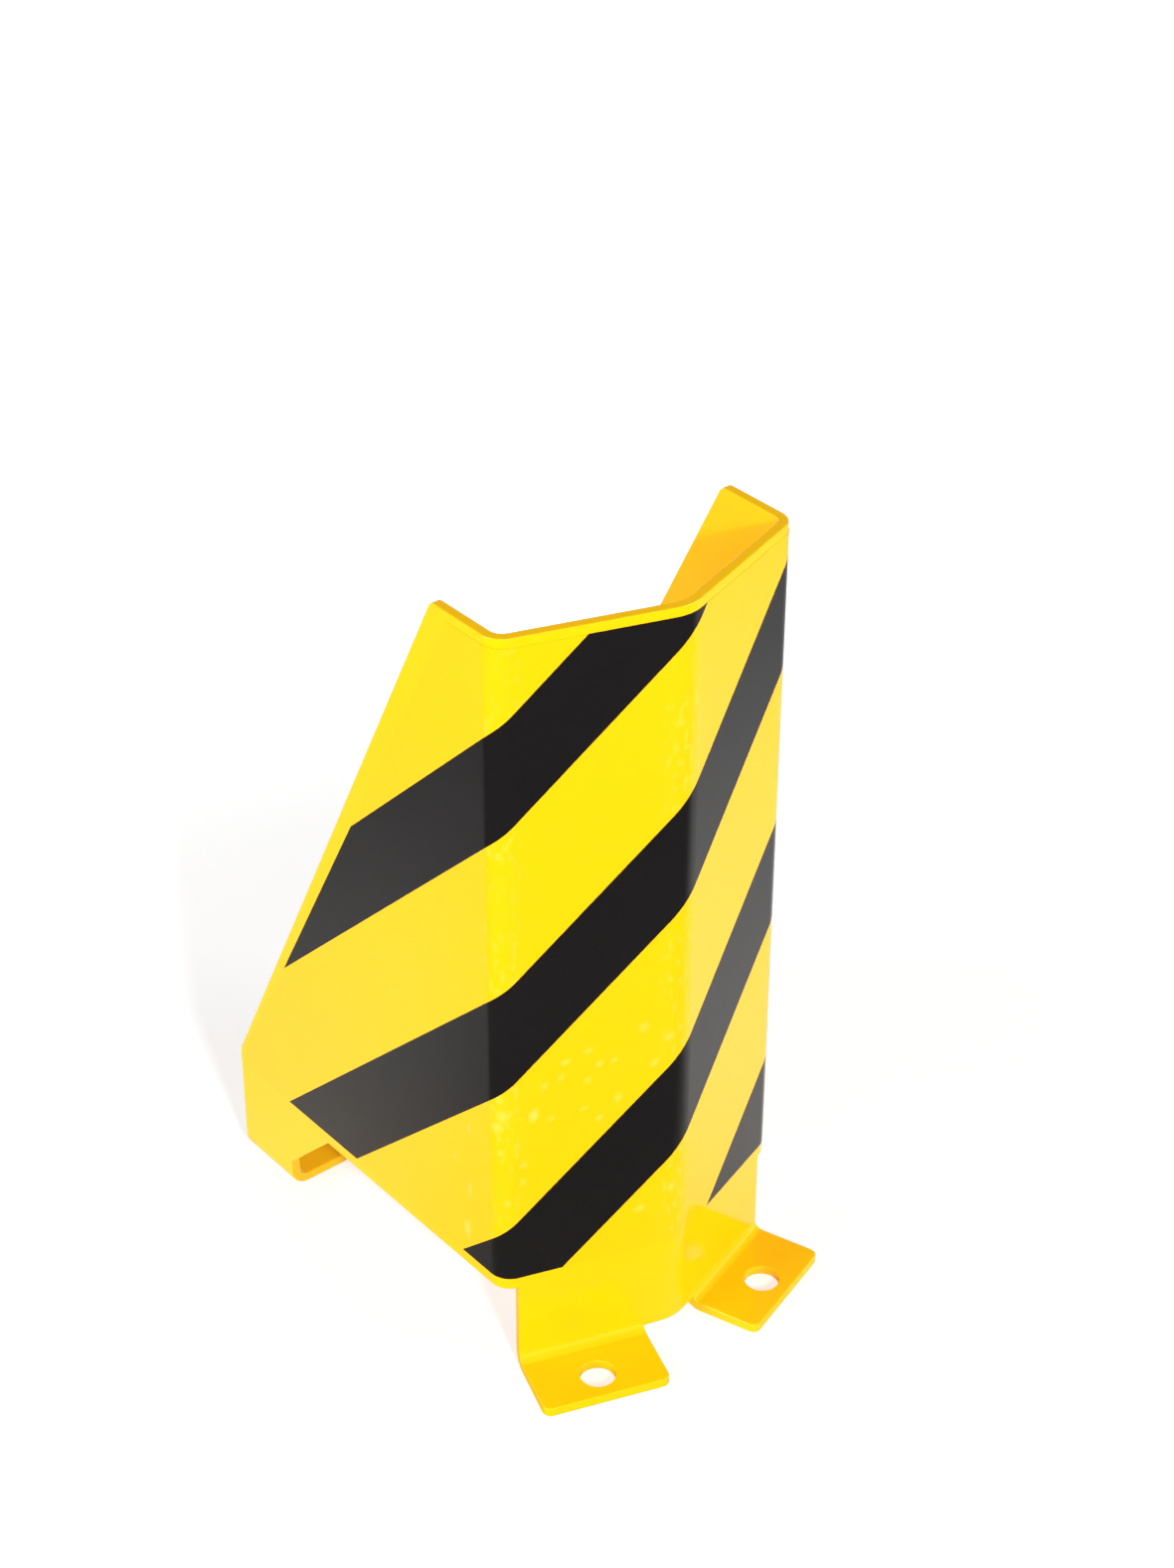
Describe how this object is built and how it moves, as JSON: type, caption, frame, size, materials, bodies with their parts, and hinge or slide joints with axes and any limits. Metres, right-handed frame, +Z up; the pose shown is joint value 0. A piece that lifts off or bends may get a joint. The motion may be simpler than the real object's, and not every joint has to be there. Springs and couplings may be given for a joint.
{
  "type": "rack column guard",
  "caption": "Folded steel guard with a pointed front, sloping sides and anchor feet, which shields the foot of a storage rack's column; striped warning film.",
  "frame": {"origin": "middle of the guard's box at floor level, in the mirror plane through the ridge", "axes": "+Z up, -Y the way the pointed front faces, +Y towards the open back, +X to the right seen from the front"},
  "size_m": [0.1706, 0.2686, 0.4],
  "materials": {
    "yellow_coat": "glossy yellow powder coat over steel, a little orange beside the film",
    "film_yellow": "lemon yellow self-adhesive film with a soft gloss and small air bubbles at the bends",
    "film_black": "black print on the same film, with a soft gloss"
  },
  "bodies": {
    "root": {"guard_sheet": "yellow_coat", "yellow_film": "film_yellow", "black_film": "film_black"}
  },
  "joints": []
}
